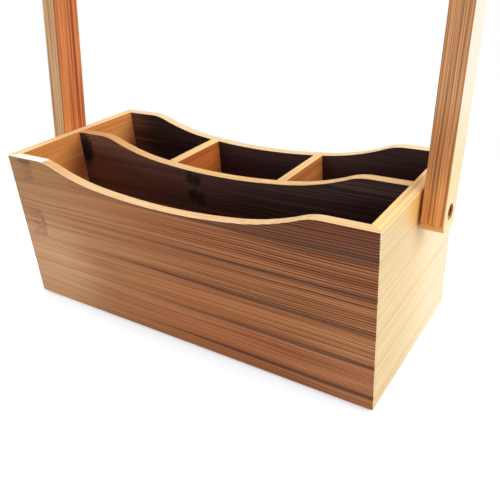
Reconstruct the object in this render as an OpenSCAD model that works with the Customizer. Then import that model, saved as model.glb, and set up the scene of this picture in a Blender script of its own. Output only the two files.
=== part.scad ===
// Open flatware caddy of laminated bamboo, with a carrying handle that swings
// on two screws. The box stands on z = 0 and is centred on x = 0 and y = 0.
// The front faces -Y.

/* [Box] */
// Outside length of the box, left to right
body_length = 280; // [220:1:340]
// Outside depth of the box, front to back
body_depth = 126; // [100:1:160]
// Height of the box at its ends
body_height = 115; // [95:1:140]
// Thickness of the front and back panels
panel_thickness = 7; // [6:0.5:9]
// Thickness of the two end panels
end_thickness = 8; // [6:0.5:12]
// Radius of the rounding round the bottom outside edge
bottom_round = 5; // [1:0.5:5.5]
// Radius of the four upright outside corners
corner_round = 1.5; // [0.5:0.25:3]

/* [Scooped edges] */
// Length of the level land from each end of the box to the crest
land_length = 39; // [28:1:60]
// Depth of the scoop below the lands
scoop_depth = 16; // [8:0.5:24]
// Share of the scoop's length that its flatter floor takes up
floor_share = 0.53; // [0.3:0.01:0.7]
// Radius of that floor, as a multiple of one plain arc from crest to crest
floor_flatness = 1.39; // [1.1:0.01:2]
// Radius that blends a land into the scoop
crest_round = 38; // [5:1:45]

/* [Dividers] */
// Thickness of the long divider and of the cross dividers
divider_thickness = 7; // [6:0.5:9]
// Distance of the long divider behind the middle of the box
divider_shift = 1; // [-10:0.5:10]

/* [Base] */
// Thickness of the base panel
base_thickness = 5; // [3:0.5:8]
// Height of the base panel's underside above the table
base_lift = 5; // [3:0.5:10]
// Depth of the groove in the walls that holds the base panel
groove_depth = 3; // [2:0.25:3.5]
// Gap between the edge of the base panel and the bottom of its groove
groove_gap = 0.25; // [0.1:0.05:0.5]

/* [Handle] */
// Depth of the pivot below the top of the end panels
pivot_drop = 13; // [9:0.5:30]
// Angle that the handle leans back from upright at rest
handle_lean = 9; // [-20:0.5:20]
// Width of a post, front to back
post_width = 22; // [16:0.5:30]
// Thickness of a post, side to side
post_thickness = 13; // [10:0.5:18]
// Length of a post from end to end
post_length = 160; // [150:1:200]
// Radius of the corners at both ends of a post
post_round = 6; // [1:0.5:7.5]
// Distance from the foot of a post to its pivot
foot_margin = 11; // [8:0.5:14]
// Distance from the top of a post to the centre of the grip
grip_margin = 11; // [10:0.5:16]
// Diameter of the round grip
grip_diameter = 18; // [14:0.5:19]
// Depth of the blind socket in each post that the grip sits in
socket_depth = 4; // [2:0.5:5]
// Length of the easing cut on the ends of the grip
grip_chamfer = 0.8; // [0.2:0.1:1.5]

/* [Screws] */
// Diameter of the screws' smooth shank
shank_diameter = 4; // [3:0.1:4.5]
// Diameter of the core under the screws' thread
core_diameter = 2.8; // [2:0.1:2.9]
// Length of the screws under the head
screw_length = 30; // [26:1:40]
// Length of the cone at a screw's tip
tip_length = 4; // [2:0.5:6]
// Diameter of the domed screw heads
head_diameter = 8; // [6:0.25:9]
// Height of the domed screw heads
head_height = 2.4; // [1.5:0.1:3]
// Drop from the middle of a head's dome to its rim
dome_drop = 1; // [0.5:0.1:1.2]
// Width of one slot of the cross recess in a head
recess_width = 1.1; // [0.6:0.1:1.5]
// Length of one slot of the cross recess in a head
recess_length = 4.6; // [3:0.1:5]
// Depth of the cross recess in a head
recess_depth = 1.5; // [0.8:0.1:1.5]
// Depth of the counterbore that a screw head sits in
counterbore_depth = 5.5; // [4:0.25:6]
// Gap all round a screw head in its counterbore
head_gap = 0.5; // [0.35:0.05:1]
// Gap all round a shank in the bore that turns on it
running_gap = 0.05; // [0.02:0.01:0.1]
// Diameter of the washer between an end panel and its post
washer_diameter = 12; // [9:0.5:16]
// Thickness of the washer
washer_thickness = 1.5; // [0.5:0.1:3]
// Depth of a pilot hole past the tip of its screw
pilot_gap = 1; // [0.5:0.25:3]

/* [Hidden] */
$fn = 96;

// A cut that opens through a face runs this far past it
overcut = 1;
// Neighbouring arcs of the scoop cut this far into each other, so that they cross
arc_bite = 0.02;
bamboo = [0.80, 0.58, 0.36];
bamboo_light = [0.90, 0.74, 0.50];
bamboo_dark = [0.66, 0.42, 0.24];
dark_steel = [0.22, 0.20, 0.19];

half_length = body_length / 2;
half_depth = body_depth / 2;
inner_half_length = half_length - end_thickness;
inner_half_depth = half_depth - panel_thickness;
floor_z = base_lift + base_thickness;

// The scoop's floor is a flat arc as far as x = side_start
scoop_half = half_length - land_length;
side_start = scoop_half * floor_share;
plain_radius = (scoop_half * scoop_half + scoop_depth * scoop_depth) / (2 * scoop_depth);
floor_radius = plain_radius * floor_flatness;
floor_bottom_z = body_height - scoop_depth;
start_slope = asin(side_start / floor_radius);
start_rise = floor_radius * (1 - cos(start_slope));

// Each side is a tighter arc that goes on in line with the floor and meets the crest
side_run = scoop_half - side_start;
side_rise = scoop_depth - start_rise;
side_sag = side_rise * cos(start_slope) - side_run * sin(start_slope);
side_radius = (side_run * side_run + side_rise * side_rise) / (2 * side_sag);
side_centre_x = side_start - side_radius * sin(start_slope);
side_centre_z = floor_bottom_z + start_rise + side_radius * cos(start_slope) - arc_bite;

// A round on each crest blends the side into the land
crest_z = body_height - crest_round;
crest_rise = side_centre_z - crest_z;
crest_reach = side_radius + crest_round - arc_bite;
crest_run = sqrt(crest_reach * crest_reach - crest_rise * crest_rise);
crest_x = side_centre_x + crest_run;
join_x = side_centre_x + crest_run * side_radius / crest_reach;

// Two cross dividers share the space behind the long divider equally
cross_pitch = (2 * inner_half_length + divider_thickness) / 3;
cross_x = cross_pitch / 2;
cross_front_y = divider_shift + divider_thickness / 2;

pivot_z = body_height - pivot_drop;
post_inner_x = half_length + washer_thickness;
post_outer_x = post_inner_x + post_thickness;
post_top = post_length - foot_margin;
grip_z = post_top - grip_margin;
grip_half_length = post_inner_x + socket_depth;

counterbore_radius = head_diameter / 2 + head_gap;
shank_radius = shank_diameter / 2;
core_radius = core_diameter / 2;
running_radius = shank_radius + running_gap;
head_seat_x = post_outer_x - counterbore_depth;
dome_radius = (head_diameter * head_diameter / 4 + dome_drop * dome_drop) / (2 * dome_drop);

// Cylinder along +X, from x = start to x = finish
module bar_x(start, finish, radius) {
    translate([start, 0, 0])
        rotate([0, 90, 0])
            cylinder(h = finish - start, r = radius);
}

// Extrudes a flat outline drawn in Y and Z along X, from x = start to x = finish
module plate_x(start, finish) {
    translate([start, 0, 0])
        rotate([90, 0, 90])
            linear_extrude(height = finish - start)
                children();
}

// Extrudes a flat outline drawn in X and Z along Y, from y = start to y = finish
module plate_y(start, finish) {
    translate([0, finish, 0])
        rotate([90, 0, 0])
            linear_extrude(height = finish - start)
                children();
}

// Turns and moves a handle piece from the pivot's own frame to its place at rest
module at_pivot() {
    translate([0, divider_shift, pivot_z])
        rotate([-handle_lean, 0, 0])
            children();
}

// Rectangle centred on the origin, with its four corners rounded by exact arcs
module rounded_rectangle(width, height, radius) {
    square([width - 2 * radius, height], center = true);
    square([width, height - 2 * radius], center = true);
    for (side_x = [-1, 1])
        for (side_y = [-1, 1])
            translate([side_x * (width / 2 - radius), side_y * (height / 2 - radius)])
                circle(r = radius);
}

// End view of the box, standing on the line y = 0, with its two lower corners rounded
module rounded_foot_outline(half_width) {
    translate([-half_width, bottom_round])
        square([2 * half_width, body_height - bottom_round]);
    translate([-half_width + bottom_round, 0])
        square([2 * (half_width - bottom_round), body_height]);
    for (side = [-1, 1])
        translate([side * (half_width - bottom_round), bottom_round])
            circle(r = bottom_round);
}

// The outside form that all four walls are finished to once they are glued up
module envelope() {
    intersection() {
        plate_x(-half_length, half_length)
            rounded_foot_outline(half_depth);
        plate_y(-half_depth, half_depth)
            rounded_foot_outline(half_length);
        linear_extrude(height = body_height)
            rounded_rectangle(body_length, body_depth, corner_round);
    }
}

// Side view of the space above the right side of the scoop and above its crest's round
module above_side() {
    translate([side_centre_x, side_centre_z])
        circle(r = side_radius, $fn = 720);
    difference() {
        translate([join_x, crest_z])
            square([crest_x - join_x, crest_round + overcut]);
        translate([crest_x, crest_z])
            circle(r = crest_round, $fn = 360);
    }
}

// The scoop with its two blended crests, as a cutter right through the box
module scoop_cutter() {
    plate_y(-half_depth - overcut, half_depth + overcut) {
        intersection() {
            translate([0, floor_bottom_z + floor_radius])
                circle(r = floor_radius, $fn = 1440);
            translate([-side_start, floor_bottom_z - overcut])
                square([2 * side_start, scoop_depth + 2 * overcut]);
        }
        above_side();
        mirror([1, 0])
            above_side();
    }
}

// The groove round the inside of the walls, as one slab
module base_groove() {
    slot_x = inner_half_length + groove_depth;
    slot_y = inner_half_depth + groove_depth;
    translate([-slot_x, -slot_y, base_lift])
        cube([2 * slot_x, 2 * slot_y, base_thickness]);
}

// The back panel, with mitred ends, a scooped top edge and the groove for the base
module long_panel() {
    difference() {
        intersection() {
            envelope();
            linear_extrude(height = body_height)
                polygon([
                    [-half_length, half_depth],
                    [half_length, half_depth],
                    [inner_half_length, inner_half_depth],
                    [-inner_half_length, inner_half_depth]
                ]);
        }
        scoop_cutter();
        base_groove();
    }
}

// The right end panel, with mitred ends, the groove and the hole for the pivot screw
module end_panel() {
    difference() {
        intersection() {
            envelope();
            linear_extrude(height = body_height)
                polygon([
                    [half_length, -half_depth],
                    [half_length, half_depth],
                    [inner_half_length, inner_half_depth],
                    [inner_half_length, -inner_half_depth]
                ]);
        }
        base_groove();
        translate([0, divider_shift, pivot_z])
            bar_x(inner_half_length - overcut, half_length + overcut, shank_radius);
    }
}

module front_panel() {
    color(bamboo_dark)
        mirror([0, 1, 0])
            long_panel();
}

module back_panel() {
    color(bamboo)
        long_panel();
}

module right_end_panel() {
    color(bamboo_light)
        end_panel();
}

module left_end_panel() {
    color(bamboo)
        mirror([1, 0, 0])
            end_panel();
}

module base_panel() {
    edge_x = inner_half_length + groove_depth - groove_gap;
    edge_y = inner_half_depth + groove_depth - groove_gap;
    color(bamboo)
        translate([-edge_x, -edge_y, base_lift])
            cube([2 * edge_x, 2 * edge_y, base_thickness]);
}

// The pilot hole in the right end of the long divider, round the pivot screw's core
module divider_pilot() {
    bottom_x = head_seat_x - screw_length - pilot_gap;
    translate([0, divider_shift, pivot_z])
        bar_x(bottom_x, inner_half_length + overcut, core_radius);
}

module centre_divider() {
    color(bamboo_dark)
        difference() {
            translate([-inner_half_length, divider_shift - divider_thickness / 2, floor_z])
                cube([2 * inner_half_length, divider_thickness, body_height - floor_z]);
            scoop_cutter();
            divider_pilot();
            mirror([1, 0, 0])
                divider_pilot();
        }
}

module cross_divider(middle_x) {
    color(bamboo)
        difference() {
            translate([middle_x - divider_thickness / 2, cross_front_y, floor_z])
                cube([divider_thickness, inner_half_depth - cross_front_y, body_height - floor_z]);
            scoop_cutter();
        }
}

module left_cross_divider() {
    cross_divider(-cross_x);
}

module right_cross_divider() {
    cross_divider(cross_x);
}

// The right handle post in the pivot's frame: bored for the pivot screw, counterbored
// for both screw heads, and with a blind socket for the grip
module handle_post() {
    difference() {
        plate_x(post_inner_x, post_outer_x)
            translate([0, post_length / 2 - foot_margin])
                rounded_rectangle(post_width, post_length, post_round);
        bar_x(post_inner_x - overcut, post_outer_x + overcut, running_radius);
        bar_x(head_seat_x, post_outer_x + overcut, counterbore_radius);
        translate([0, 0, grip_z]) {
            bar_x(post_inner_x - overcut, grip_half_length, grip_diameter / 2);
            bar_x(post_inner_x - overcut, post_outer_x + overcut, shank_radius);
            bar_x(head_seat_x, post_outer_x + overcut, counterbore_radius);
        }
    }
}

module right_handle_post() {
    color(bamboo_light)
        at_pivot()
            handle_post();
}

module left_handle_post() {
    color(bamboo)
        mirror([1, 0, 0])
            at_pivot()
                handle_post();
}

// The pilot hole in the right end of the grip
module grip_pilot() {
    bar_x(head_seat_x - screw_length - pilot_gap, grip_half_length + overcut, core_radius);
}

module grip() {
    body_end = grip_half_length - grip_chamfer;
    color(bamboo)
        at_pivot()
            translate([0, 0, grip_z])
                difference() {
                    rotate([0, 90, 0])
                        rotate_extrude()
                            polygon([
                                [0, -grip_half_length],
                                [grip_diameter / 2 - grip_chamfer, -grip_half_length],
                                [grip_diameter / 2, -body_end],
                                [grip_diameter / 2, body_end],
                                [grip_diameter / 2 - grip_chamfer, grip_half_length],
                                [0, grip_half_length]
                            ]);
                    grip_pilot();
                    mirror([1, 0, 0])
                        grip_pilot();
                }
}

// Half outline of a screw, with its axis on the line x = 0 and its tip at the bottom.
// The smooth shank ends at shoulder_x, and the threaded part beyond it is drawn as its
// core. The head is a dome cut from a circle.
module screw_outline(shoulder_x) {
    tip_x = head_seat_x - screw_length;
    polygon([
        [0, tip_x],
        [core_radius, tip_x + tip_length],
        [core_radius, shoulder_x],
        [shank_radius, shoulder_x],
        [shank_radius, head_seat_x],
        [0, head_seat_x]
    ]);
    intersection() {
        translate([0, head_seat_x])
            square([head_diameter / 2, head_height]);
        translate([0, head_seat_x + head_height - dome_radius])
            circle(r = dome_radius, $fn = 256);
    }
}

// A screw along +X whose head sits at head_seat_x, with a cross recess
module screw(shoulder_x) {
    recess_x = head_seat_x + head_height - recess_depth;
    difference() {
        rotate([0, 90, 0])
            rotate_extrude()
                screw_outline(shoulder_x);
        for (turn = [0, 90])
            rotate([turn, 0, 0])
                translate([recess_x, -recess_length / 2, -recess_width / 2])
                    cube([recess_depth + overcut, recess_length, recess_width]);
    }
}

module right_pivot_screw() {
    color(dark_steel)
        translate([0, divider_shift, pivot_z])
            screw(inner_half_length);
}

module left_pivot_screw() {
    mirror([1, 0, 0])
        right_pivot_screw();
}

module right_grip_screw() {
    color(dark_steel)
        at_pivot()
            translate([0, 0, grip_z])
                screw(grip_half_length);
}

module left_grip_screw() {
    mirror([1, 0, 0])
        right_grip_screw();
}

module right_pivot_washer() {
    color(dark_steel)
        translate([0, divider_shift, pivot_z])
            difference() {
                bar_x(half_length, post_inner_x, washer_diameter / 2);
                bar_x(half_length - overcut, post_inner_x + overcut, running_radius);
            }
}

module left_pivot_washer() {
    mirror([1, 0, 0])
        right_pivot_washer();
}

front_panel();
back_panel();
left_end_panel();
right_end_panel();
base_panel();
centre_divider();
left_cross_divider();
right_cross_divider();
left_pivot_washer();
right_pivot_washer();
left_pivot_screw();
right_pivot_screw();
left_handle_post();
right_handle_post();
grip();
left_grip_screw();
right_grip_screw();
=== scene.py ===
import math

import bpy
from mathutils import Matrix, Vector

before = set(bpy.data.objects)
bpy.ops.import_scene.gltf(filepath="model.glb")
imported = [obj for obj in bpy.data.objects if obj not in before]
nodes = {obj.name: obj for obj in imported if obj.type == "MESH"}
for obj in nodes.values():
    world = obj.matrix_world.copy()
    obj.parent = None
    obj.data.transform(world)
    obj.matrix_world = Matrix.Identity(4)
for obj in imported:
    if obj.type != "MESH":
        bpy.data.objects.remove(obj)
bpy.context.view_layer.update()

MM = 0.001

# Places on the caddy that the finish and the easing follow, in mm from its middle
OUTER_X, OUTER_Y = 140.0, 63.0         # outside faces of the walls
INNER_X, INNER_Y = 132.0, 56.0         # inside faces of the walls
BASE_TOP, BASE_UNDERSIDE = 10.0, 5.0   # faces of the base panel, above the table
DIVIDER_BACK = 4.5                     # back face of the long divider
PIVOT_Y, PIVOT_Z = 1.0, 102.0          # axis of the pivot screws
POST_X = 148.0                         # middle of a post's thickness
BORE_X = 151.5                         # about the middle of a post's counterbore
PIVOT_TO_GRIP = 138.0                  # up the leaning post

PIVOT = (0.0, PIVOT_Y * MM, PIVOT_Z * MM)
HANDLE_LEAN = math.radians(9.0)
# The mitre plane in |x| and |y|: normal and reach, both still to be scaled to length 1
MITRE_RISE = (OUTER_Y - INNER_Y, INNER_X - OUTER_X, 0.0)
MITRE_REACH = (MITRE_RISE[0] * INNER_X + MITRE_RISE[1] * INNER_Y) * MM

# Laminated strips
STRIP_WIDTH = 21.6 * MM        # seam to seam, up the walls
TOP_SEAM_Z = 98.0 * MM         # height of the highest seam on the walls
BASE_SEAM_Y = 7.0 * MM         # one seam of the base panel
POST_STRIP = 26.0 * MM         # wider than a post, so that a post shows no seam
GRIP_STRIP = 50.0 * MM         # seams at 200 and 250 mm lie below and above the grip
GRIP_SEAM_Z = 200.0 * MM
FINE_LINE_PITCH = 1.70 * MM    # even lines on the front panel

# Fibres: noise steps per metre along and across the grain, and how detailed
BANDS = (4.0, 105.0, 2.0)
BUNDLES = (9.0, 300.0, 2.0)
THREADS = (6.0, 900.0, 1.5)
HAIRS = (22.0, 1900.0, 1.0)
TURNING_RINGS = 2600.0         # noise steps per metre out from a screw's axis

# Lacquer and relief
LACQUER_ROUGHNESS = (0.48, 0.66)
LACQUER_GLOSS = 0.25
GRAIN_RELIEF = 0.12 * MM
STEEL_RELIEF = 0.05 * MM

# Rounding of free edges, and what counts as one
WALL_EASE = 0.5 * MM           # walls and dividers
POST_EASE = 0.8 * MM
SMALL_EASE = 0.3 * MM          # base panel and grip
SCREW_EASE = 0.15 * MM
EASE_ABOVE = 12.0 * MM         # a wall's edges that reach lower stay as in the CAD
WELD_GAP = 0.01 * MM
SEAM_GAP = 0.02 * MM           # an edge this near a glued seam stays as it is
FLAT_TURN = math.radians(0.3)
FREE_TURN = math.radians(30.0)
SHARP_TURN = math.radians(35.0)

# Floor and lamps
FLOOR_REACH = 4.0
FLOOR_FADE = (0.22, 0.40)      # distance over which the lit floor turns white
SKY_LEVEL = 0.34
# Name, place, target, size in metres, power in watts
LAMPS = (
    ("key lamp", (1.15, 0.15, 0.80), (0.05, 0.0, 0.08), (1.4, 1.1), 11.7),
    ("overhead softbox", (0.10, 0.25, 1.40), (0.0, 0.0, 0.1), (0.9, 0.5), 11.0),
    ("front fill", (-0.10, -1.25, 0.35), (0.0, 0.0, 0.06), (0.6, 0.3), 4.3),
)

# Camera, fitted to the box's edges, its cut tops and the posts in the photograph
CAMERA_PLACE = (229.50 * MM, -300.24 * MM, 244.15 * MM)
CAMERA_AZIMUTH = 34.935
CAMERA_ELEVATION = 28.420
CAMERA_ROLL = -4.134
FOCAL_PIXELS = 589.59
FRAME_PIXELS = 500.0


def tone(red, green, blue):
    """A colour given as sRGB in 0 to 255, as a linear RGBA tuple."""
    def linear(value):
        """One channel, from sRGB to linear light."""
        value /= 255.0
        return value / 12.92 if value <= 0.04045 else ((value + 0.055) / 1.055) ** 2.4
    return (linear(red), linear(green), linear(blue), 1.0)


class Graph:
    """Adds nodes to one node tree and joins them by socket."""

    def __init__(self, tree):
        self.tree = tree

    def feed(self, socket, value):
        """Joins another node's output to a socket, or writes a plain value on it."""
        if isinstance(value, bpy.types.NodeSocket):
            self.tree.links.new(value, socket)
        elif value is not None:
            socket.default_value = value

    def add(self, kind, inputs=None, **settings):
        """A new node with its settings made and its inputs fed."""
        node = self.tree.nodes.new(kind)
        for key, value in settings.items():
            setattr(node, key, value)
        for key, value in (inputs or {}).items():
            self.feed(node.inputs[key], value)
        return node

    def math(self, operation, *values):
        """One sum on numbers."""
        node = self.add("ShaderNodeMath", operation=operation)
        for index, value in enumerate(values):
            self.feed(node.inputs[index], value)
        return node.outputs[0]

    def vector(self, operation, *values):
        """One sum on vectors, whose result may be a number."""
        node = self.add("ShaderNodeVectorMath", operation=operation)
        for index, value in enumerate(values):
            self.feed(node.inputs[index], value)
        is_number = operation in ("DOT_PRODUCT", "LENGTH", "DISTANCE")
        return node.outputs["Value" if is_number else "Vector"]

    def split(self, vector):
        """A vector's x, y and z."""
        return self.add("ShaderNodeSeparateXYZ", {0: vector}).outputs

    def join(self, x, y, z):
        """A vector from x, y and z."""
        return self.add("ShaderNodeCombineXYZ", {0: x, 1: y, 2: z}).outputs[0]

    def ease(self, value, start, finish, low=0.0, high=1.0):
        """Smooth step of value, from low at start to high at finish."""
        node = self.add("ShaderNodeMapRange", {
            "Value": value, "From Min": start, "From Max": finish,
            "To Min": low, "To Max": high,
        }, interpolation_type="SMOOTHSTEP")
        return node.outputs["Result"]

    def noise(self, vector, scale=1.0, detail=2.0, roughness=0.5):
        """Cloudy noise from 0 to 1, about 0.5 in the mean."""
        node = self.add("ShaderNodeTexNoise", {
            "Vector": vector, "Scale": scale, "Detail": detail, "Roughness": roughness,
        }, noise_dimensions="3D")
        return node.outputs["Fac"]

    def mix(self, factor, first, second, blend="MIX"):
        """The first colour, with as much of the second as the factor says."""
        node = self.add("ShaderNodeMix", data_type="RGBA", blend_type=blend)
        for index, value in ((0, factor), (6, first), (7, second)):
            self.feed(node.inputs[index], value)
        return node.outputs[2]

    def group(self, tree, inputs):
        """A shared node group placed here with its own inputs."""
        node = self.add("ShaderNodeGroup", node_tree=tree)
        for key, value in inputs.items():
            self.feed(node.inputs[key], value)
        return node.outputs


def new_group(name, inputs, outputs):
    """An empty shader group with named sockets; returns its graph, inputs and output node."""
    tree = bpy.data.node_groups.new(name, "ShaderNodeTree")
    kinds = {"colour": "NodeSocketColor", "number": "NodeSocketFloat",
             "vector": "NodeSocketVector"}
    for direction, sockets in (("INPUT", inputs), ("OUTPUT", outputs)):
        for label, kind in sockets:
            tree.interface.new_socket(label, in_out=direction, socket_type=kinds[kind])
    graph = Graph(tree)
    given = graph.add("NodeGroupInput").outputs
    result = graph.add("NodeGroupOutput").inputs
    return graph, given, result


def strip_grain_group():
    """Laminated bamboo in board coordinates: x runs with the fibres, y across the strips.

    The strip number is the whole part of (y - seam) / width, and its random value slides
    the fibres so that they break at each seam. Noises drawn out along x give bands,
    bundles, threads and hairs, with steps of 9.5, 3.3, 1.1 and 0.5 mm across. Fine lines
    lie at an even pitch, sin(2 pi (y / pitch + 0.5 bundles)), some faint and some strong.
    A seam darkens with nearness to its glue line, more and wider past the place along x
    where it starts.
    """
    graph, given, result = new_group("laminated bamboo grain", [
        ("Vector", "vector"), ("Strip Width", "number"), ("First Seam", "number"),
        ("Seam Band", "number"), ("Seam Start", "number"), ("Seed", "number"),
        ("Line Scale", "number"),
    ], [
        ("Fibre", "number"), ("Dark Threads", "number"), ("Pale Threads", "number"),
        ("Seam", "number"), ("Strip Tone", "number"), ("Height", "number"),
        ("Fine Lines", "number"),
    ])
    x, y, z = graph.split(given["Vector"])
    steps = graph.math("DIVIDE", graph.math("SUBTRACT", y, given["First Seam"]),
                       given["Strip Width"])
    number = graph.math("FLOOR", steps)

    def chance_of(count, salt):
        """A fixed random value for each whole number."""
        return graph.add("ShaderNodeTexWhiteNoise",
                         {"Vector": graph.join(count, given["Seed"], salt)},
                         noise_dimensions="3D").outputs["Value"]

    chance = chance_of(number, 0.5)
    along = graph.math("MULTIPLY_ADD", chance, 9.0, x)
    # The fibres wander by a millimetre or so along a strip
    wander = graph.math("MULTIPLY_ADD", graph.noise(
        graph.join(graph.math("MULTIPLY", along, 9.0), graph.math("MULTIPLY", y, 30.0),
                   given["Seed"])), 0.0036, -0.0018)
    across = graph.math("ADD", y, wander)

    def drawn_out(run, spread, detail):
        """Noise at (x run, y spread, z spread + seed), long along the fibres."""
        spread = graph.math("MULTIPLY", given["Line Scale"], spread)
        return graph.noise(graph.join(
            graph.math("MULTIPLY", along, run),
            graph.math("MULTIPLY", across, spread),
            graph.math("MULTIPLY_ADD", z, spread, given["Seed"])), detail=detail)

    bands, bundles, threads, hairs = (
        drawn_out(*fibres) for fibres in (BANDS, BUNDLES, THREADS, HAIRS))
    fibre = graph.math("MULTIPLY_ADD", bands, 0.21, graph.math(
        "MULTIPLY_ADD", bundles, 0.30, graph.math("MULTIPLY", threads, 0.49)))
    fibre = graph.ease(fibre, 0.37, 0.63)
    dark = graph.math("MULTIPLY_ADD", graph.math("SUBTRACT", bundles, 0.5), 0.10, threads)
    dark = graph.math("MULTIPLY", graph.ease(dark, 0.49, 0.62),
                      graph.ease(hairs, 0.22, 0.55, 0.6, 1.0))
    pale = graph.math("MULTIPLY_ADD", graph.math("SUBTRACT", bundles, 0.5), 0.20, threads)
    pale = graph.ease(pale, 0.46, 0.34)
    turns = graph.math("MULTIPLY_ADD", across, 1.0 / FINE_LINE_PITCH,
                       graph.math("MULTIPLY", bundles, 0.5))
    wave = graph.math("SINE", graph.math("MULTIPLY", turns, 2.0 * math.pi))
    fine = graph.math("MULTIPLY", graph.ease(wave, -0.3, 0.85),
                      graph.ease(threads, 0.36, 0.56, 0.6, 1.0))
    # Distance to the nearest seam, in metres, and that seam's own chance
    seam_number = graph.math("FLOOR", graph.math("ADD", steps, 0.5))
    seam_chance = chance_of(seam_number, 7.5)
    near = graph.math("MULTIPLY", graph.math("ABSOLUTE", graph.math(
        "SUBTRACT", steps, seam_number)), given["Strip Width"])
    place = graph.math("SUBTRACT", graph.math("MULTIPLY_ADD", seam_chance, -0.06, x),
                       given["Seam Start"])
    place = graph.math("MULTIPLY_ADD", graph.math("SUBTRACT", bands, 0.5), 0.10, place)
    onset = graph.ease(place, -0.06, 0.05)
    reach = graph.math("MULTIPLY", given["Seam Band"], graph.ease(
        place, 0.0, 0.16, 0.55, 1.35))
    ragged = graph.math("MULTIPLY_ADD", graph.math("SUBTRACT", bundles, 0.5), 0.0050, near)
    band = graph.ease(graph.math("DIVIDE", ragged, reach), 1.05, 0.35)
    band = graph.math("MULTIPLY", graph.math("MULTIPLY", band, onset),
                      graph.ease(threads, 0.35, 0.62, 0.62, 1.0))
    glue = graph.math("MULTIPLY", graph.ease(near, 0.0007, 0.00025, 0.0, 0.85),
                      graph.ease(onset, 0.0, 1.0, 0.35, 1.0))
    seam = graph.math("MAXIMUM", band, glue)
    height = graph.math("SUBTRACT", graph.math("MULTIPLY_ADD", hairs, 0.5, graph.math(
        "MULTIPLY", threads, 0.5)), graph.math("MULTIPLY_ADD", glue, 0.8, graph.math(
            "MULTIPLY", dark, 0.35)))
    for label, value in (("Fibre", fibre), ("Dark Threads", dark), ("Pale Threads", pale),
                         ("Seam", seam), ("Strip Tone", chance), ("Height", height),
                         ("Fine Lines", fine)):
        graph.feed(result[label], value)
    return graph.tree


def knuckle_group():
    """The mark of one bamboo joint on one strip, centred on a place in board coordinates.

    It is a patch across the strip that holds the place, mottled by a noise and paler
    towards its near end, with a thin bowed line at its far end, where the distance along
    the grain is half the length.
    """
    graph, given, result = new_group("bamboo knuckle", [
        ("Vector", "vector"), ("Place", "vector"), ("Length", "number"),
        ("Strip Width", "number"), ("First Seam", "number"),
    ], [("Mark", "number")])

    def strip_number(height):
        """The whole part of (height - seam) / width."""
        return graph.math("FLOOR", graph.math("DIVIDE", graph.math(
            "SUBTRACT", height, given["First Seam"]), given["Strip Width"]))

    x, y, z = graph.split(given["Vector"])
    place_x, place_y, _ = graph.split(given["Place"])
    number = strip_number(y)
    on_strip = graph.math("COMPARE", number, strip_number(place_y), 0.1)
    # Both ends bow by 2 mm over a strip, and fray a little
    middle = graph.math("MULTIPLY_ADD", number, given["Strip Width"], graph.math(
        "MULTIPLY_ADD", given["Strip Width"], 0.5, given["First Seam"]))
    aside = graph.math("DIVIDE", graph.math("SUBTRACT", y, middle), given["Strip Width"])
    bow = graph.math("MULTIPLY_ADD", graph.math("MULTIPLY", aside, aside), 0.008, -0.001)
    fray = graph.math("MULTIPLY_ADD", graph.noise(
        graph.join(graph.math("MULTIPLY", x, 250.0), graph.math("MULTIPLY", y, 700.0), z)),
        0.004, -0.002)
    half = graph.math("MULTIPLY", given["Length"], 0.5)
    offset = graph.math("DIVIDE", graph.math("ADD", graph.math(
        "SUBTRACT", x, place_x), graph.math("ADD", bow, fray)), half)
    body = graph.math("MULTIPLY", graph.ease(offset, 1.05, 0.80),
                      graph.ease(offset, -1.3, 0.2, 0.0, 0.8))
    far_end = graph.ease(graph.math("ABSOLUTE", graph.math("SUBTRACT", offset, 0.86)),
                         0.16, 0.02, 0.0, 0.8)
    mottle = graph.noise(graph.join(graph.math("MULTIPLY", x, 260.0),
                                    graph.math("MULTIPLY", y, 330.0), 3.0), 1.0, 3.0, 0.65)
    spots = graph.ease(mottle, 0.40, 0.62, 0.30, 1.0)
    mark = graph.math("MAXIMUM", graph.math("MULTIPLY", body, spots),
                      graph.math("MULTIPLY", far_end, graph.ease(mottle, 0.35, 0.6)))
    graph.feed(result["Mark"], graph.math("MULTIPLY", mark, on_strip))
    return graph.tree


def blot_group():
    """A ragged dark blot centred on a place in board coordinates.

    It fades as the length of ((x - place) / reach, (y - place) / reach), to which
    2.2 noise - 1.0 is added, grows from 0.70 to 1.15.
    """
    graph, given, result = new_group("dark blot", [
        ("Vector", "vector"), ("Place", "vector"), ("Reach", "vector"),
    ], [("Mark", "number")])
    away = graph.vector("LENGTH", graph.vector("DIVIDE", graph.vector(
        "SUBTRACT", given["Vector"], given["Place"]), given["Reach"]))
    fray = graph.noise(graph.vector("MULTIPLY", given["Vector"], (300.0, 1000.0, 0.0)), 1.0,
                       3.0, 0.6)
    away = graph.math("ADD", away, graph.math("MULTIPLY_ADD", fray, 2.2, -1.0))
    graph.feed(result["Mark"], graph.ease(away, 1.15, 0.70))
    return graph.tree


FACES = (("+X", 0, 1.0), ("-X", 0, -1.0), ("+Y", 1, 1.0), ("-Y", 1, -1.0),
         ("+Z", 2, 1.0), ("-Z", 2, -1.0))


def face_tone_group():
    """One colour for each of the six ways that a flat face looks, and one for eased edges.

    A face's colour comes in as its part of the normal passes from 0.72 to 0.95. Side faces
    keep theirs on a rounding that turns down: their part is set against the upright part
    of the normal only where that points up. In this scene the colours are lit and shaded
    copies of one bamboo, painted light and shade by the way a face looks.
    """
    graph, given, result = new_group(
        "tone by face", [("Normal", "vector"), ("Edge", "colour")]
        + [(label, "colour") for label, _, _ in FACES], [("Color", "colour")])
    x, y, z = graph.split(given["Normal"])
    level = graph.vector("LENGTH", graph.join(x, y, graph.math("MAXIMUM", z, 0.0)))
    level = graph.math("MAXIMUM", level, 0.05)
    parts = (graph.math("DIVIDE", x, level), graph.math("DIVIDE", y, level), z)
    colour = given["Edge"]
    for label, axis, sign in FACES:
        facing = graph.ease(graph.math("MULTIPLY", parts[axis], sign), 0.72, 0.95)
        colour = graph.mix(facing, colour, given[label])
    graph.feed(result["Color"], colour)
    return graph.tree


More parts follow.
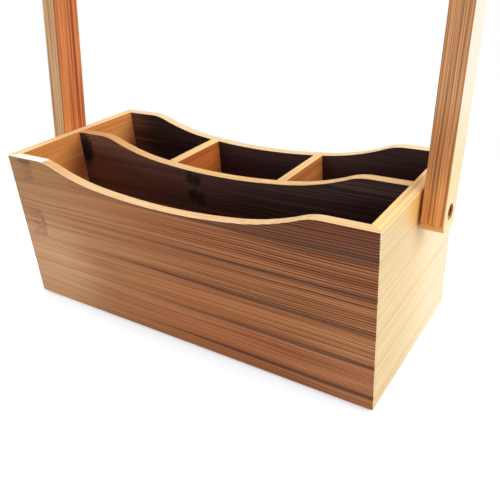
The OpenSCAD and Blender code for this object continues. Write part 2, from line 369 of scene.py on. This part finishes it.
STRIP_GRAIN = strip_grain_group()
KNUCKLE = knuckle_group()
BLOT = blot_group()
FACE_TONE = face_tone_group()

# Each finish is a plain colour and the colour of its dark fibres. The wood is all one
# bamboo: most finishes are lit or shaded copies of it, painted light and shade.
HONEY = (tone(250, 214, 150), tone(222, 166, 100))
FRONT_RIM = (tone(234, 195, 144), tone(212, 158, 100))
SLOPE_RIM = (tone(220, 172, 116), tone(196, 138, 82))
TAN_RIM = (tone(225, 166, 112), tone(198, 132, 80))
BACK_RIM = (tone(237, 220, 178), tone(222, 186, 136))
# CREAM, on the walls' eased edges and right-hand corners, is a painted highlight
CREAM = (tone(255, 238, 205), tone(246, 214, 160))
# MILK is a painted highlight on the front panel's left top
MILK = (tone(255, 250, 242), tone(252, 236, 214))
PALE = (tone(228, 203, 153), tone(214, 180, 126))
PALE_YELLOW = (tone(247, 226, 191), tone(238, 208, 158))
POST_PALE = (tone(246, 229, 184), tone(238, 212, 156))
POST_MILK = (tone(251, 241, 227), tone(244, 230, 204))
# PALE_SHADED is a painted shadow of a post on its end panel
PALE_SHADED = (tone(240, 190, 108), tone(222, 164, 88))
# TAN, the front face's left half, is a painted reflection of the white floor
TAN = (tone(181, 132, 88), tone(140, 89, 50))
# PALE_TAN is painted light from the white floor on the front's lower left
PALE_TAN = (tone(213, 164, 120), tone(172, 122, 80))
BROWN = (tone(180, 114, 67), tone(116, 53, 12))
# LIGHT_BROWN is painted light from the white floor on the front's lower right
LIGHT_BROWN = (tone(194, 130, 86), tone(138, 80, 38))
AMBER = (tone(236, 152, 76), tone(196, 106, 46))
# GOLDEN and RED_AMBER are painted light on the short dividers' faces
GOLDEN = (tone(242, 162, 86), tone(204, 120, 58))
RED_AMBER = (tone(226, 132, 60), tone(176, 80, 28))
# INNER_BROWN, INNER_MID, INNER_DARK and NEAR_BLACK are painted shade inside the compartments
INNER_BROWN = (tone(128, 84, 60), tone(66, 40, 30))
INNER_MID = (tone(122, 83, 68), tone(76, 49, 43))
INNER_DARK = (tone(56, 37, 38), tone(33, 21, 23))
NEAR_BLACK = (tone(30, 18, 22), tone(17, 10, 13))
# INNER_GOLD is painted light on the end panels' inner faces
INNER_GOLD = (tone(246, 165, 86), tone(210, 116, 56))
# The tone below is painted shade in the inside corners, where walls and divider meet
CORNER_SHADE_TONE = (tone(170, 92, 52), tone(122, 60, 34))
POST_BROWN = (tone(246, 172, 95), tone(160, 94, 48))
POST_UMBER = (tone(220, 152, 90), tone(132, 78, 44))
POST_GREYED = (tone(238, 178, 120), tone(152, 98, 62))
# Painted reflection of the floor on a post's rounded foot
FOOT_REFLECTION_TONE = (tone(226, 178, 110), tone(206, 150, 88))
POST_EDGE = (tone(190, 124, 70), tone(146, 84, 42))
# The left post's front is a painted reflection of the white surroundings, and its inner face
# is painted light
LEFT_POST_FRONT = (tone(231, 185, 138), tone(162, 116, 78))
LEFT_POST_INNER = (tone(232, 144, 80), tone(158, 70, 32))
# Painted shade in the counterbores
BORE_SHADE_TONE = (tone(58, 22, 10), tone(30, 12, 6))
SEAM_BROWN = tone(70, 36, 16)
# INNER_BLACK, bluish near-black, is painted shade on the divider's blots
INNER_BLACK = tone(6, 9, 14)
STRIP_REDDENING = tone(214, 140, 92)
PALE_THREAD = tone(255, 214, 160)
FINE_LINE_TONE = tone(112, 104, 104)


def finish_on(node, name):
    """A fresh material as a node's only one: its graph, shader and coordinates."""
    material = bpy.data.materials.new(name)
    material.use_nodes = True
    node.data.materials.clear()
    node.data.materials.append(material)
    graph = Graph(material.node_tree)
    return (graph, material.node_tree.nodes["Principled BSDF"],
            graph.add("ShaderNodeTexCoord").outputs)


def distance_to_plane(graph, place, normal, reach):
    """|n . (|x|, |y|, |z|) - d|, with the normal n and the reach d scaled to length 1."""
    length = Vector(normal).length
    return graph.math("ABSOLUTE", graph.math("SUBTRACT", graph.vector(
        "DOT_PRODUCT", graph.vector("ABSOLUTE", place),
        tuple(Vector(normal).normalized())), reach / length))


def tint_by_strip(graph, across, tints, seam, strip):
    """One tint for each strip, from the top down: a stepped ramp over y, read at
    (y - lowest seam) / height of all the strips."""
    ramp = graph.add("ShaderNodeValToRGB")
    steps = ramp.color_ramp
    steps.interpolation = "CONSTANT"
    top = seam + strip
    lowest = top - len(tints) * strip
    while len(steps.elements) < len(tints):
        steps.elements.new(0.5)
    for index, tint in enumerate(reversed(tints)):
        steps.elements[index].position = index / len(tints)
        steps.elements[index].color = tint
    graph.feed(ramp.inputs[0], graph.math("DIVIDE", graph.math(
        "SUBTRACT", across, lowest), top - lowest))
    return ramp.outputs[0]


def bamboo(name, node, grain_turn, faces, edge, drift=(), knuckles=(),
           knuckle_tone=tone(136, 90, 72), strip=STRIP_WIDTH, seam=TOP_SEAM_Z,
           seam_band=0.0030, seam_start=-9.0, seam_tone=SEAM_BROWN, seam_depth=0.8,
           threads=(-1.0, 1.0, 0.6, 0.6), strip_tints=None, seed=1.0, line_scale=1.0,
           origin=(0, 0, 0), mitred=False, light_and_shade_patches=(), strip_change=0.26,
           knuckle_depth=1.0, blots=(), fibre_depth=0.42, fine_lines=None):
    """A lacquered board. grain_turn is a rotation that takes Object to board coordinates.

    faces gives the finish of each way that a face looks, and edge that of the rest; in this
    scene these are painted light and shade, paler where a face looks to the lamps.
    drift gives a face its next finish along the grain: face, finish, where it starts and
    is reached, and how far the fibres fray that border. The patches paint light or shade on
    a face round a place on it: face, place, how far the new finish is full and where it
    ends, and the finish. threads gives where along the grain the threads start to grow and
    are full, and their strength at either place, and fine_lines does so for the even lines
    of the face that looks to the front. knuckles have a place along and across the board
    and a length, in mm. blots lie on the face that looks to the front: place and reach
    along and across the board in mm, how deep the tone is, and the tone. strip_tints gives
    each strip its own tint, and without them strip_change says how much the strips differ.
    The board's coordinates start at origin, and mitred boards show glue at their ends.
    """
    graph, shader, source = finish_on(node, name)
    normal = graph.split(source["Normal"])
    placed = graph.vector("SUBTRACT", source["Object"], origin)
    board = graph.add("ShaderNodeMapping", {
        "Vector": placed, "Rotation": grain_turn}, vector_type="POINT").outputs[0]
    along, across, _ = graph.split(board)
    grain = graph.group(STRIP_GRAIN, {
        "Vector": board, "Strip Width": strip, "First Seam": seam,
        "Seam Band": seam_band, "Seam Start": seam_start, "Seed": seed,
        "Line Scale": line_scale})

    def tones(part):
        """The plain colour, part 0, or that of the dark fibres, part 1, by face."""
        by_face = {label: faces.get(label, edge)[part] for label, _, _ in FACES}
        for label, later, start, finish, fray in drift:
            share = graph.ease(graph.math("MULTIPLY_ADD", grain["Fibre"], fray, along),
                               start, finish)
            by_face[label] = graph.mix(share, by_face[label], later[part])
        # Painted light or shade round a place on a face
        for label, place, full, end, finish in light_and_shade_patches:
            away = graph.vector("DISTANCE", source["Object"],
                                tuple(value * MM for value in place))
            away = graph.math("MULTIPLY_ADD", grain["Fibre"], 0.010, away)
            by_face[label] = graph.mix(graph.ease(away, end * MM, full * MM),
                                       by_face[label], finish[part])
        return graph.group(FACE_TONE, dict(
            {"Normal": source["Normal"], "Edge": edge[part]}, **by_face))[0]

    plain, fibres = tones(0), tones(1)
    if strip_tints:
        amount = graph.math("MULTIPLY", graph.ease(along, -0.11, 0.05, 0.10, 1.0),
                            graph.ease(graph.math("ABSOLUTE", normal[1]), 0.80, 0.98))
        plain = graph.mix(amount, plain, tint_by_strip(
            graph, across, strip_tints, seam, strip), blend="MULTIPLY")
    else:
        # Strips differ: some redder, some paler
        plain = graph.mix(graph.math("MULTIPLY", grain["Strip Tone"], strip_change), plain,
                          STRIP_REDDENING, blend="MULTIPLY")
    growth = graph.ease(along, *threads)
    colour = graph.mix(graph.math("MULTIPLY", grain["Fibre"], fibre_depth), plain, fibres)
    colour = graph.mix(graph.math("MULTIPLY", grain["Dark Threads"], growth), colour,
                       fibres)
    colour = graph.mix(graph.math("MULTIPLY", graph.math(
        "MULTIPLY", grain["Pale Threads"], growth), 0.32), colour,
        graph.mix(0.25, plain, PALE_THREAD))
    # Seam bands and knuckles show on the faces of the strips, not along their cut tops
    upright = graph.ease(graph.math("ABSOLUTE", normal[2]), 0.8, 0.3)
    colour = graph.mix(graph.math("MULTIPLY", graph.math(
        "MULTIPLY", grain["Seam"], upright), seam_depth), colour, seam_tone)
    to_front = graph.ease(normal[1], -0.4, -0.8)
    if fine_lines:
        # They are fainter on the lower strips
        strength = graph.math("MULTIPLY", graph.ease(along, *fine_lines),
                              graph.ease(across, 0.02, 0.08, 0.55, 1.0))
        colour = graph.mix(graph.math("MULTIPLY", graph.math(
            "MULTIPLY", grain["Fine Lines"], to_front), strength),
            colour, FINE_LINE_TONE, blend="MULTIPLY")
    marked = None
    for place in knuckles:
        mark = graph.group(KNUCKLE, {
            "Vector": board, "Place": (place[0] * MM, place[1] * MM, 0.0),
            "Length": place[2] * MM, "Strip Width": strip, "First Seam": seam})[0]
        marked = mark if marked is None else graph.math("MAXIMUM", marked, mark)
    if marked is not None:
        colour = graph.mix(graph.math("MULTIPLY", graph.math(
            "MULTIPLY", marked, upright), knuckle_depth), colour, knuckle_tone)
    for x, y, reach_x, reach_y, depth, blot_tone in blots:
        mark = graph.group(BLOT, {
            "Vector": graph.join(along, across, 0.0), "Place": (x * MM, y * MM, 0.0),
            "Reach": (reach_x * MM, reach_y * MM, 1.0)})[0]
        colour = graph.mix(graph.math("MULTIPLY", graph.math(
            "MULTIPLY", mark, to_front), depth), colour, blot_tone)
    if mitred:
        # A hair of glue shows on top, where two walls meet
        gap = distance_to_plane(graph, source["Object"], MITRE_RISE, MITRE_REACH)
        colour = graph.mix(graph.math("MULTIPLY", graph.ease(
            normal[2], 0.7, 0.9), graph.ease(gap, 0.00035, 0.0001, 0.0, 0.6)),
            colour, fibres)
    graph.feed(shader.inputs["Base Color"], colour)
    graph.feed(shader.inputs["Roughness"],
               graph.ease(grain["Fibre"], 0.0, 1.0, *LACQUER_ROUGHNESS))
    bump = graph.add("ShaderNodeBump", {
        "Strength": 0.4, "Distance": GRAIN_RELIEF, "Height": grain["Height"]})
    graph.feed(shader.inputs["Normal"], bump.outputs[0])
    shader.inputs["Specular IOR Level"].default_value = LACQUER_GLOSS


def brushed_steel(name, node, centre, colour):
    """Turned steel: fine rings round the X axis through centre, where roughness varies.

    The rings are noise at (radius, x / 2) in steps, and the radius is sqrt(y y + z z).
    """
    graph, shader, source = finish_on(node, name)
    x, y, z = graph.split(graph.vector("SUBTRACT", source["Object"], centre))
    radius = graph.vector("LENGTH", graph.join(0.0, y, z))
    rings = graph.noise(graph.join(graph.math("MULTIPLY", radius, TURNING_RINGS),
                                   graph.math("MULTIPLY", x, TURNING_RINGS * 0.5), 0.0))
    smudge = graph.noise(source["Object"], 420.0, 3.0, 0.6)
    shade = graph.math("MULTIPLY_ADD", rings, 0.5, graph.math("MULTIPLY", smudge, 0.5))
    graph.feed(shader.inputs["Base Color"], graph.mix(
        graph.ease(shade, 0.35, 0.65), colour, [c * 0.6 for c in colour[:3]] + [1.0]))
    graph.feed(shader.inputs["Roughness"], graph.ease(shade, 0.3, 0.7, 0.28, 0.5))
    shader.inputs["Metallic"].default_value = 1.0
    bump = graph.add("ShaderNodeBump", {
        "Strength": 0.3, "Distance": STEEL_RELIEF, "Height": rings})
    graph.feed(shader.inputs["Normal"], bump.outputs[0])


def new_mesh_tree(name):
    """An empty geometry tree: its graph, the mesh that comes in and the way out."""
    tree = bpy.data.node_groups.new(name, "GeometryNodeTree")
    for direction in ("INPUT", "OUTPUT"):
        tree.interface.new_socket("Geometry", in_out=direction,
                                  socket_type="NodeSocketGeometry")
    graph = Graph(tree)
    return (graph, graph.add("NodeGroupInput").outputs[0],
            graph.add("NodeGroupOutput").inputs[0])


def easing_tree(name, seams, above):
    """Marks the sharp edges that a maker eases, and leaves out those in a glued seam or
    lower than a height.

    An edge is marked when its two faces turn by more than 30 degrees and its ends don't
    both lie in one of the seam planes, each given by its normal and its reach.
    """
    graph, given, result = new_mesh_tree(name)
    ends = graph.add("GeometryNodeInputMeshEdgeVertices").outputs
    ends = (ends["Position 1"], ends["Position 2"])
    turn = graph.add("GeometryNodeInputMeshEdgeAngle").outputs["Unsigned Angle"]
    marked = graph.math("GREATER_THAN", turn, FREE_TURN)
    for end in ends:
        marked = graph.math("MULTIPLY", marked, graph.math(
            "GREATER_THAN", graph.split(end)[2], above))
    for normal, reach in seams:
        within = 1.0
        for end in ends:
            within = graph.math("MULTIPLY", within, graph.math(
                "LESS_THAN", distance_to_plane(graph, end, normal, reach), SEAM_GAP))
        marked = graph.math("MULTIPLY", marked, graph.math("SUBTRACT", 1.0, within))
    store = graph.add("GeometryNodeStoreNamedAttribute", {
        "Geometry": given, "Name": "bevel_weight_edge"}, data_type="FLOAT", domain="EDGE")
    graph.feed(store.inputs["Value"], marked)
    graph.feed(result, store.outputs[0])
    return graph.tree


def shading_tree():
    """Smooth faces, with every edge that turns by more than 35 degrees kept sharp."""
    graph, given, result = new_mesh_tree("smooth by angle")
    faces = graph.add("GeometryNodeSetShadeSmooth", {
        "Geometry": given, "Shade Smooth": True}, domain="FACE").outputs[0]
    turn = graph.add("GeometryNodeInputMeshEdgeAngle").outputs["Unsigned Angle"]
    soft = graph.math("LESS_THAN", turn, SHARP_TURN)
    edges = graph.add("GeometryNodeSetShadeSmooth", {"Geometry": faces}, domain="EDGE")
    graph.feed(edges.inputs["Shade Smooth"], soft)
    graph.feed(result, edges.outputs[0])
    return graph.tree


SMOOTH_BY_ANGLE = shading_tree()


def ease_edges(node, width, seams=(), above=-1.0):
    """Welds a node's triangles, merges its flat faces and rounds its free edges."""
    weld = node.modifiers.new("weld", "WELD")
    weld.merge_threshold = WELD_GAP
    flat = node.modifiers.new("flat faces", "DECIMATE")
    flat.decimate_type = "DISSOLVE"
    flat.angle_limit = FLAT_TURN
    marks = node.modifiers.new("free edges", "NODES")
    marks.node_group = easing_tree(node.name + " free edges", seams, above)
    bevel = node.modifiers.new("eased edges", "BEVEL")
    bevel.limit_method = "WEIGHT"
    bevel.width = width
    bevel.segments = 3
    bevel.use_clamp_overlap = False
    smooth = node.modifiers.new("smooth", "NODES")
    smooth.node_group = SMOOTH_BY_ANGLE
    weighted = node.modifiers.new("weighted normals", "WEIGHTED_NORMAL")
    weighted.keep_sharp = True


def board_turn(fibres, across):
    """Rotation that takes Object to board coordinates: the rows of its matrix are the
    board's x with the fibres, its y across the strips, and their cross product."""
    fibres, across = Vector(fibres), Vector(across)
    return tuple(Matrix((fibres, across, fibres.cross(across))).to_euler("XYZ"))


ALONG_X = board_turn((1, 0, 0), (0, 0, 1))
ALONG_Y = board_turn((0, 1, 0), (0, 0, 1))
BASE_ALONG_X = board_turn((1, 0, 0), (0, 1, 0))
UP_POST = board_turn((0, math.sin(HANDLE_LEAN), math.cos(HANDLE_LEAN)), (1, 0, 0))

# Planes of glued seams: normal and reach
MITRE = (MITRE_RISE, MITRE_REACH)
FLOOR_SEAM = ((0, 0, 1), BASE_TOP * MM)
UNDER_SEAM = ((0, 0, 1), BASE_UNDERSIDE * MM)


def dress_walls(nodes):
    """Front, back and end panels: strips lie level, with their seams at one height."""
    # Ends and edges of the long walls that look to the right lamp are CREAM, a painted
    # highlight; those that look away are BROWN, painted shade
    long_wall = {"+Z": HONEY, "-Z": BROWN, "+X": CREAM, "-X": BROWN}
    bamboo("front panel bamboo", nodes["front_panel"], ALONG_X,
           dict(long_wall, **{"-Y": TAN, "+Y": INNER_BROWN, "+Z": MILK}), CREAM,
           # The front face is TAN at the left, a painted reflection of the white floor, and
           # darkens to BROWN at the right
           drift=(("-Y", BROWN, -0.13, 0.04, 0.02),
                  # On top, MILK at the left land is a painted highlight; it turns to SLOPE_RIM
                  # and FRONT_RIM towards the scoop
                  ("+Z", SLOPE_RIM, -0.1045, -0.1005, 0.002),
                  ("+Z", FRONT_RIM, -0.092, -0.060, 0.01)),
           knuckles=((-124, 105, 14), (-125, 66, 19)), knuckle_tone=tone(132, 82, 58),
           knuckle_depth=0.75, seam_start=-0.05, threads=(-0.13, 0.12, 0.12, 0.50),
           fine_lines=(-0.10, 0.10, 0.04, 0.90),
           strip_tints=(tone(172, 156, 146), tone(246, 240, 236), tone(248, 246, 238),
                        tone(255, 252, 244), tone(250, 240, 232), tone(236, 226, 210)),
           # Painted light from the white floor: paler at both lower corners of the front face
           light_and_shade_patches=(("-Y", (-OUTER_X, -OUTER_Y, 20), 22, 60, PALE_TAN),
                    ("-Y", (-112, -OUTER_Y, 30), 8, 66, PALE_TAN),
                    ("-Y", (OUTER_X, -OUTER_Y, 14), 20, 72, LIGHT_BROWN)),
           blots=((-122, 112.6, 8, 1.8, 0.7, tone(92, 76, 62)),),
           fibre_depth=0.26, seam_band=0.0020, seed=3.0, mitred=True)
    bamboo("back panel bamboo", nodes["back_panel"], ALONG_X,
           # Inside, INNER_MID, near-black at the left end and INNER_DARK to the right, is
           # painted shade of the compartment
           dict(long_wall, **{"+Y": BROWN, "-Y": INNER_MID, "+Z": BACK_RIM}), BACK_RIM,
           drift=(("-Y", NEAR_BLACK, -0.134, -0.100, 0.01),
                  ("-Y", INNER_DARK, -0.05, 0.0, 0.02)),
           knuckles=((52, 56, 13), (-31, 44, 12), (96, 20, 14)),
           knuckle_tone=tone(104, 62, 40), seam_depth=0.3,
           threads=(-1.0, 1.0, 0.25, 0.25), seed=7.0, mitred=True)
    for side, name in ((1, "right"), (-1, "left")):
        outer, inner = ("+X", "-X") if side > 0 else ("-X", "+X")
        bamboo(name + " end bamboo", nodes[name + "_end_panel"], ALONG_Y,
               # INNER_GOLD on the inside is painted light from the right lamp
               {outer: PALE, inner: INNER_GOLD, "+Z": HONEY, "-Z": PALE}, CREAM,
               knuckles=((22, 45, 12),) if side < 0 else (),
               knuckle_tone=tone(206, 160, 112),
               drift=((outer, PALE_YELLOW, -0.04, 0.05, 0.02),), strip_change=0.04,
               seam_tone=tone(214, 166, 110), seam_depth=0.32, seam_band=0.0012,
               threads=(-1.0, 1.0, 0.4, 0.4),
               # Painted shadow of the post at rest outside, which stays when the handle
               # swings, and painted shade in the inside corners
               light_and_shade_patches=((outer, (OUTER_X * side, -11, 110), 10, 28, PALE_SHADED),
                        (inner, (INNER_X * side, -4, 86), 8, 34, CORNER_SHADE_TONE),
                        (inner, (INNER_X * side, INNER_Y, 84), 8, 30, CORNER_SHADE_TONE)),
               seed=11.0 + side, mitred=True)
    for name in ("front_panel", "back_panel", "left_end_panel", "right_end_panel"):
        ease_edges(nodes[name], WALL_EASE, (MITRE, FLOOR_SEAM, UNDER_SEAM),
                   above=EASE_ABOVE)


def dress_dividers(nodes):
    """The long divider, dark with blots, and the two short ones, red and golden."""
    bamboo("centre divider bamboo", nodes["centre_divider"], ALONG_X,
           # INNER_MID on the front face, darkening to INNER_DARK on the right, and INNER_BROWN
           # behind are painted shade of the compartments
           {"-Y": INNER_MID, "+Y": INNER_BROWN, "+Z": TAN_RIM}, HONEY,
           drift=(("-Y", INNER_DARK, -0.12, 0.06, 0.02),
                  ("+Z", HONEY, -0.11, -0.01, 0.02)),
           # The first four are marks of a bamboo joint, drawn near-black for the painted shade
           # they lie in; the last is painted shade in the corner by the left end panel
           blots=((-25.6, 94.0, 4.6, 5.2, 0.92, INNER_BLACK),
                  (-19.4, 92.8, 4.6, 5.2, 0.92, INNER_BLACK),
                  (-24.0, 80.8, 5.0, 6.0, 0.92, INNER_BLACK),
                  (-17.6, 79.4, 5.0, 5.8, 0.92, INNER_BLACK),
                  (-127, 102, 8, 15, 0.97, INNER_BLACK)),
           seam_tone=tone(30, 18, 16), seam_depth=0.3, threads=(-0.10, 0.08, 0.1, 0.6),
           fibre_depth=0.36, seed=5.0)
    ease_edges(nodes["centre_divider"], WALL_EASE,
               (((1, 0, 0), INNER_X * MM), FLOOR_SEAM))
    # The short dividers' orange is painted light from the right lamp; the left one is painted
    # darker and redder
    for seed, name, finish in ((17.0, "left_cross_divider", RED_AMBER),
                               (19.0, "right_cross_divider", GOLDEN)):
        bamboo(name.replace("_", " ") + " bamboo", nodes[name], ALONG_Y,
               {"+X": finish, "-X": finish, "+Z": HONEY}, HONEY,
               threads=(-1.0, 1.0, 0.2, 0.2), seam_tone=tone(120, 58, 30),
               seam_depth=0.3, seed=seed)
        ease_edges(nodes[name], WALL_EASE,
                   (((0, 1, 0), DIVIDER_BACK * MM), ((0, 1, 0), INNER_Y * MM),
                    FLOOR_SEAM))


def dress_base(nodes):
    """The floor of the compartments."""
    bamboo("base panel bamboo", nodes["base_panel"], BASE_ALONG_X,
           {"+Z": AMBER, "-Z": BROWN}, BROWN, knuckles=((-62, 30, 13), (70, -25, 12)),
           seam=BASE_SEAM_Y, seed=23.0)
    ease_edges(nodes["base_panel"], SMALL_EASE)


def dress_handle(nodes):
    """Posts: fibres run up the leaning post. Grip: a turned rod with fibres along X."""
    for side, name, front, inner_face, lines in (
            (1, "right", POST_BROWN, AMBER, 1.9),
            # The left post's front is a painted reflection of the white surroundings; its
            # inner face is painted light
            (-1, "left", LEFT_POST_FRONT, LEFT_POST_INNER, 0.8)):
        outer, inner = ("+X", "-X") if side > 0 else ("-X", "+X")
        bore = (BORE_X * side, PIVOT_Y, PIVOT_Z)
        node = nodes[name + "_handle_post"]
        bamboo(name + " post bamboo", node, UP_POST,
               {outer: POST_PALE, inner: inner_face, "+Y": POST_BROWN, "-Y": front,
                "+Z": HONEY, "-Z": HONEY}, POST_EDGE, strip=POST_STRIP,
               seam=-POST_STRIP / 2,
               # Low on the front and back faces: a painted reflection of the floor on the
               # foot's rounding
               drift=(("-Y", FOOT_REFLECTION_TONE, -0.0062, -0.0074, 0.0005),
                      ("+Y", FOOT_REFLECTION_TONE, -0.0062, -0.0074, 0.0005),
                      (outer, POST_MILK, 0.03, 0.09, 0.02))
               + ((("-Y", POST_UMBER, 0.006, 0.034, 0.01),
                   ("-Y", POST_GREYED, 0.045, 0.070, 0.01)) if side > 0 else ()),
               # Painted shade on the walls of the counterbore round the pivot
               light_and_shade_patches=tuple((label, bore, 6.2, 7.6, BORE_SHADE_TONE)
                             for label in ("+Y", "-Y", "+Z", "-Z")),
               threads=(-0.0074, -0.0060, 0.2, 0.85), seed=29.0 + side,
               line_scale=lines, origin=(POST_X * MM * side, PIVOT[1], PIVOT[2]))
        ease_edges(node, POST_EASE)
    bamboo("grip bamboo", nodes["grip"], ALONG_X, {}, AMBER, strip=GRIP_STRIP,
           seam=GRIP_SEAM_Z, seed=37.0, line_scale=1.3)
    ease_edges(nodes["grip"], SMALL_EASE)


def dress_metal(nodes):
    """Screws and washers, with rings round the pivot or round the grip's own axis."""
    grip_place = (0.0, PIVOT[1] + PIVOT_TO_GRIP * MM * math.sin(HANDLE_LEAN),
                  PIVOT[2] + PIVOT_TO_GRIP * MM * math.cos(HANDLE_LEAN))
    for side in ("left", "right"):
        for part, centre, colour in (
                # The pivot screws are dark steel, drawn darker and browner as painted shade of
                # their counterbores
                ("pivot_screw", PIVOT, tone(32, 22, 18)),
                ("grip_screw", grip_place, tone(96, 90, 86)),
                ("pivot_washer", PIVOT, tone(120, 112, 106))):
            node = nodes[side + "_" + part]
            brushed_steel(node.name.replace("_", " ") + " steel", node, centre, colour)
            ease_edges(node, SCREW_EASE)


def floor_and_backdrop():
    """A wide white floor. The camera sees it near white, with the object's soft shadow."""
    mesh = bpy.data.meshes.new("floor")
    corners = [(x * FLOOR_REACH, y * FLOOR_REACH, 0) for x, y in (
        (-1, -1), (1, -1), (1, 1), (-1, 1))]
    mesh.from_pydata(corners, [], [(0, 1, 2, 3)])
    floor = bpy.data.objects.new("floor", mesh)
    bpy.context.scene.collection.objects.link(floor)
    material = bpy.data.materials.new("white floor")
    material.use_nodes = True
    graph = Graph(material.node_tree)
    material.node_tree.nodes.clear()
    seen = seen_directly(graph)
    plain = graph.add("ShaderNodeBsdfDiffuse", {"Color": tone(228, 228, 230)}).outputs[0]
    shadowed = graph.add("ShaderNodeBsdfDiffuse", {"Color": (0.98, 0.98, 0.98, 1)})
    glow = graph.add("ShaderNodeEmission", {"Color": (0.43, 0.50, 0.54, 1), "Strength": 1.0})
    lit = graph.add("ShaderNodeAddShader", {0: shadowed.outputs[0],
                                            1: glow.outputs[0]}).outputs[0]
    white = graph.add("ShaderNodeEmission", {"Color": (1, 1, 1, 1)}).outputs[0]
    away = graph.vector("LENGTH", graph.add("ShaderNodeTexCoord").outputs["Object"])
    lit = graph.add("ShaderNodeMixShader", {
        0: graph.ease(away, *FLOOR_FADE), 1: lit, 2: white}).outputs[0]
    both = graph.add("ShaderNodeMixShader", {0: seen, 1: plain, 2: lit}).outputs[0]
    graph.add("ShaderNodeOutputMaterial", {"Surface": both})
    mesh.materials.append(material)


def seen_directly(graph):
    """1 on rays from the camera, or that reach it by gloss or glass; 0 on light's own rays."""
    path = graph.add("ShaderNodeLightPath").outputs
    return graph.math("MAXIMUM", path["Is Camera Ray"], graph.math(
        "MAXIMUM", path["Is Glossy Ray"], path["Is Transmission Ray"]))


def studio():
    """Pale world, a wide soft lamp from the right, one overhead and a low front fill."""
    world = bpy.data.worlds.new("studio")
    world.use_nodes = True
    graph = Graph(world.node_tree)
    background = world.node_tree.nodes["Background"]
    background.inputs["Color"].default_value = (1, 1, 1, 1)
    strength = graph.math("MULTIPLY_ADD", seen_directly(graph), 1.0 - SKY_LEVEL, SKY_LEVEL)
    graph.feed(background.inputs["Strength"], strength)
    bpy.context.scene.world = world
    for name, place, target, size, power in LAMPS:
        light = bpy.data.lights.new(name, "AREA")
        light.shape = "RECTANGLE"
        light.size, light.size_y = size
        light.energy = power
        lamp = bpy.data.objects.new(name, light)
        lamp.location = place
        lamp.rotation_euler = (Vector(target) - Vector(place)).to_track_quat(
            "-Z", "Y").to_euler()
        bpy.context.scene.collection.objects.link(lamp)


def photograph_camera():
    """The photograph's view: azimuth about Z, elevation, then a turn about the view axis."""
    azimuth, elevation, roll = (math.radians(angle) for angle in (
        CAMERA_AZIMUTH, CAMERA_ELEVATION, CAMERA_ROLL))
    back = Vector((math.sin(azimuth) * math.cos(elevation),
                   -math.cos(azimuth) * math.cos(elevation), math.sin(elevation)))
    right = Vector((0, 0, 1)).cross(back).normalized()
    up = back.cross(right)
    turned_right = math.cos(roll) * right + math.sin(roll) * up
    turned_up = math.cos(roll) * up - math.sin(roll) * right
    data = bpy.data.cameras.new("camera")
    data.sensor_width = 36.0
    data.lens = FOCAL_PIXELS / FRAME_PIXELS * data.sensor_width
    data.clip_start = 0.01
    camera = bpy.data.objects.new("camera", data)
    axes = Matrix((turned_right, turned_up, back)).transposed()
    camera.matrix_world = Matrix.Translation(CAMERA_PLACE) @ axes.to_4x4()
    bpy.context.scene.collection.objects.link(camera)
    bpy.context.scene.camera = camera


photograph_camera()
dress_walls(nodes)
dress_dividers(nodes)
dress_base(nodes)
dress_handle(nodes)
dress_metal(nodes)
floor_and_backdrop()
studio()
bpy.context.scene.view_settings.view_transform = "Standard"
